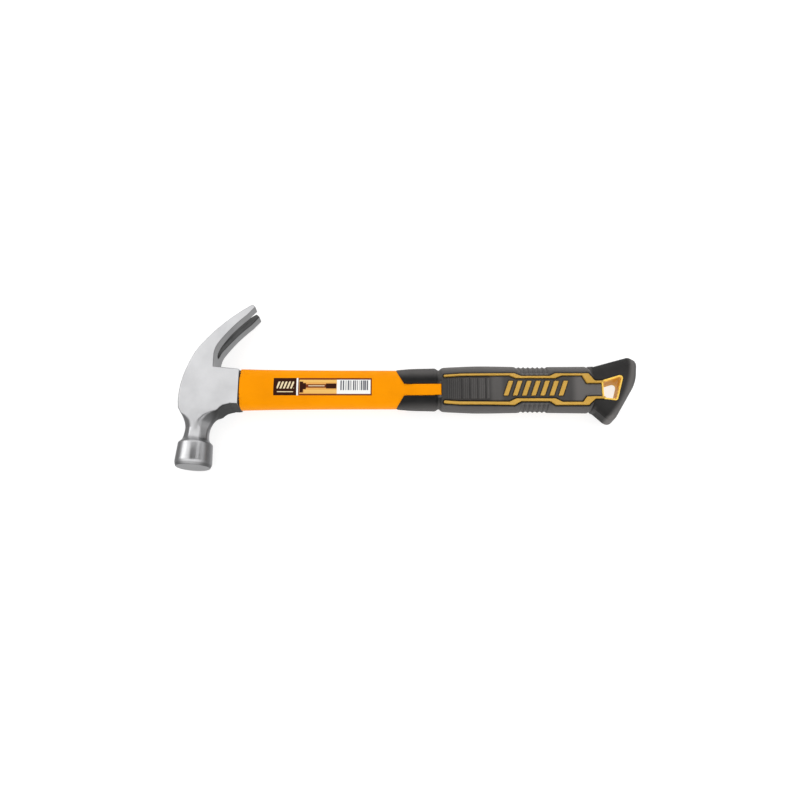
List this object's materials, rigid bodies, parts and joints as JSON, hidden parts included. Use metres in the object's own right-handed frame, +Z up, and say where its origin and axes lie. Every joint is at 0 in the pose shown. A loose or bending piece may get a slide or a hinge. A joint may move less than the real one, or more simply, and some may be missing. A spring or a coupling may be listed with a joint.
{
  "type": "claw hammer",
  "caption": "Claw hammer with a forged steel head, a split curved claw and a fibreglass-cored handle in a plastic jacket with a soft flared grip.",
  "frame": {"origin": "bottom centre of the bounding box of the hammer lying on its side", "axes": "+X along the handle from the head to the butt, +Y towards the claw and away from the striking face, +Z up through the side of the hammer"},
  "size_m": [0.33, 0.119, 0.029],
  "materials": {
    "forged_steel": "ground and shot-polished forged steel",
    "fibreglass": "pultruded glass fibre, cut end",
    "epoxy": "cast resin",
    "seal_rubber": "smooth rubber",
    "jacket_plastic": "moulded polypropylene, satin gloss",
    "grip_rubber": "moulded thermoplastic rubber, fine matt grain",
    "label_film": "printed film"
  },
  "bodies": {
    "root": {"head": "forged_steel", "fibreglass_core": "fibreglass", "eye_epoxy": "epoxy", "eye_seal": "seal_rubber", "handle_jacket": "jacket_plastic", "grip": "grip_rubber", "label": "label_film"}
  },
  "joints": []
}
